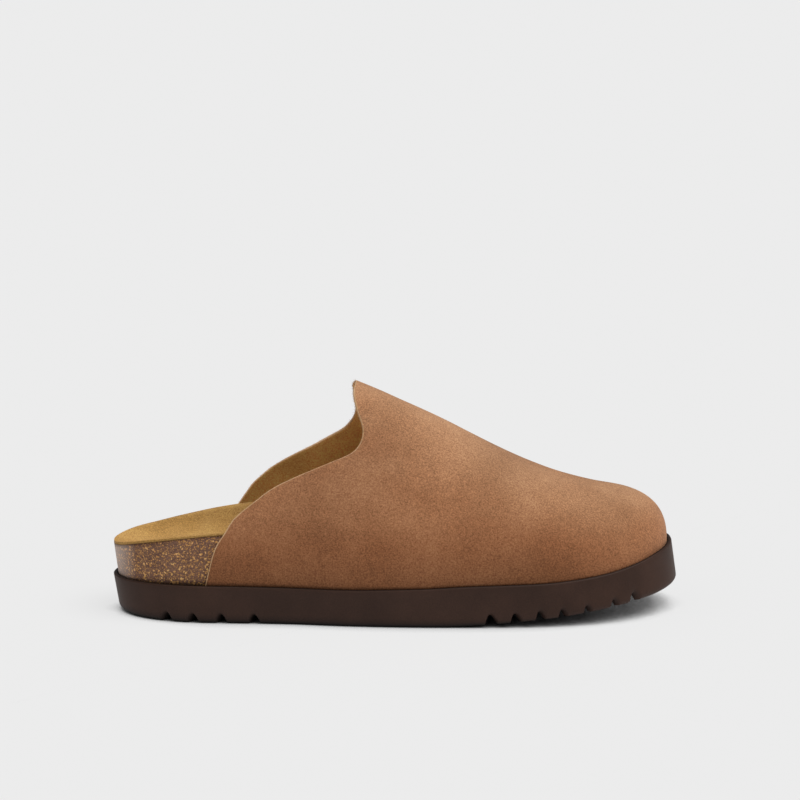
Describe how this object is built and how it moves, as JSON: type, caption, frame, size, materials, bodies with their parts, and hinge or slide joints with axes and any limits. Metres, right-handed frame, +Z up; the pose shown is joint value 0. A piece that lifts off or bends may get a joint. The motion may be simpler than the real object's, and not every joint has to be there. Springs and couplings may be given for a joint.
{
  "type": "clog",
  "caption": "Backless closed-toe suede clog for the right foot, with a moulded cork footbed, a suede insole and a grooved rubber sole; the upper rises to a point over the instep.",
  "frame": {"origin": "on the floor, under the middle of the shoe's length and width", "axes": "+X from heel to toe, +Y towards the inner (medial) side of the foot, +Z up"},
  "size_m": [0.281, 0.0974, 0.1143],
  "materials": {
    "outsole": "dark brown foamed rubber, satin",
    "footbed": "pressed cork granules, dull brown with pale flecks",
    "insole": "golden suede, matt",
    "upper": "tan brown suede, matt, raw cut edge"
  },
  "bodies": {
    "root": {"outsole": "outsole", "footbed": "footbed", "insole": "insole", "upper": "upper"}
  },
  "joints": []
}
